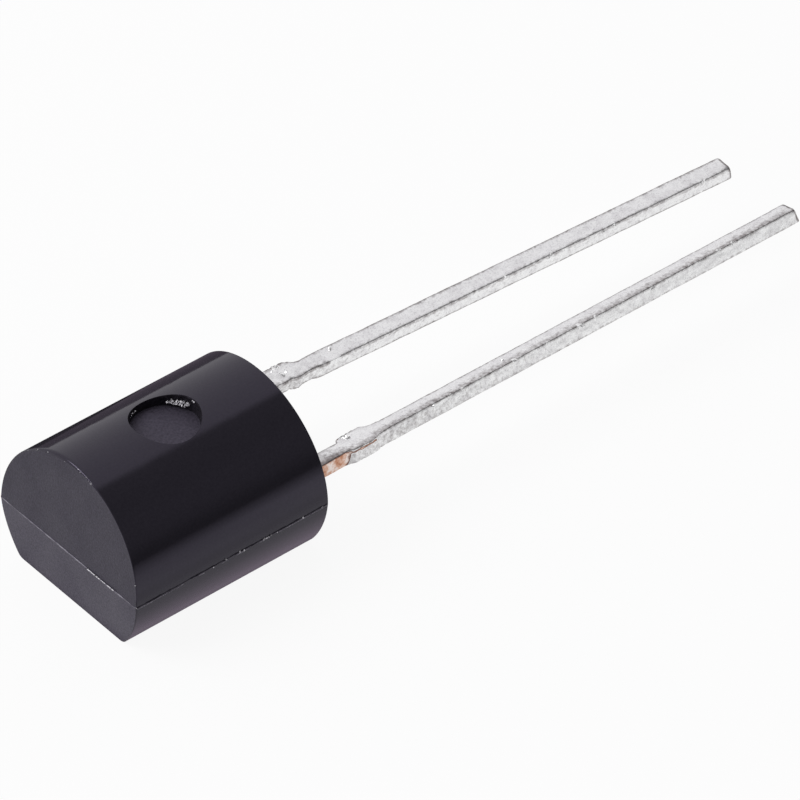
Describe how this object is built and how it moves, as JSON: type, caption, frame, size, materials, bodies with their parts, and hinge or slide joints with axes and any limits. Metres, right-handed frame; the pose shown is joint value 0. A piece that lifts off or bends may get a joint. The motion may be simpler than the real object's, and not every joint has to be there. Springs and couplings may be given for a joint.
{
  "type": "temperature sensor",
  "caption": "Silicon temperature sensor: black half-round moulded body with a flat underside and two straight flat tinned leads from one end.",
  "frame": {"origin": "centre of the body's flat underside, which the part lies on", "axes": "+X along the leads towards their tips, +Z out of the round side, +Y towards the left lead"},
  "size_m": [0.0187, 0.0044, 0.0036],
  "materials": {
    "moulding_compound": "satin",
    "tinned_lead": "satin",
    "bare_copper": "satin",
    "die_adhesive": "matte",
    "silicon": "polished",
    "gold_wire": "polished"
  },
  "bodies": {
    "root": {"body": "moulding_compound", "left_lead": "tinned_lead", "right_lead": "tinned_lead", "die_pad": "bare_copper", "die_attach": "die_adhesive", "sensor_chip": "silicon", "left_bond_wire": "gold_wire", "right_bond_wire": "gold_wire"}
  },
  "joints": []
}
